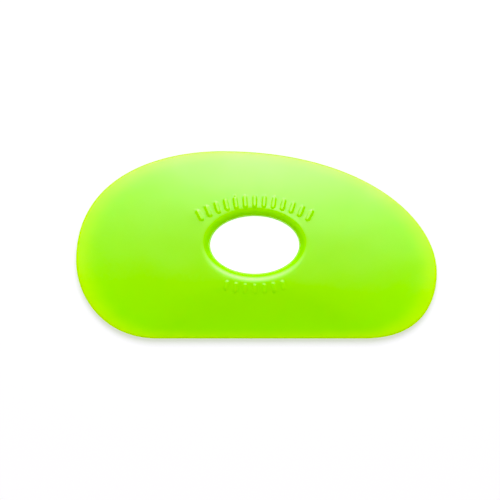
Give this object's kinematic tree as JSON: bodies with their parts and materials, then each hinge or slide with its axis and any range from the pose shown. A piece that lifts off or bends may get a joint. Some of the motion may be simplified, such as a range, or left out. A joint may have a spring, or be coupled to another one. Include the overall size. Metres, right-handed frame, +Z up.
{
  "type": "pottery rib",
  "caption": "Flexible polymer pottery rib: kidney-like blade with a straight working edge, an arched edge, thin rounded rims and an oval finger hole.",
  "frame": {"origin": "middle of the blade's box on the surface that it lies on", "axes": "+X along the blade from the broad end to the nose, +Y from the straight edge to the arched edge, +Z up through the thickness, out of the face with the grip bars"},
  "size_m": [0.14, 0.0728, 0.0067],
  "materials": {
    "soft_polymer": "satin, slightly translucent lime green"
  },
  "bodies": {
    "root": {"rib_body": "soft_polymer"}
  },
  "joints": []
}
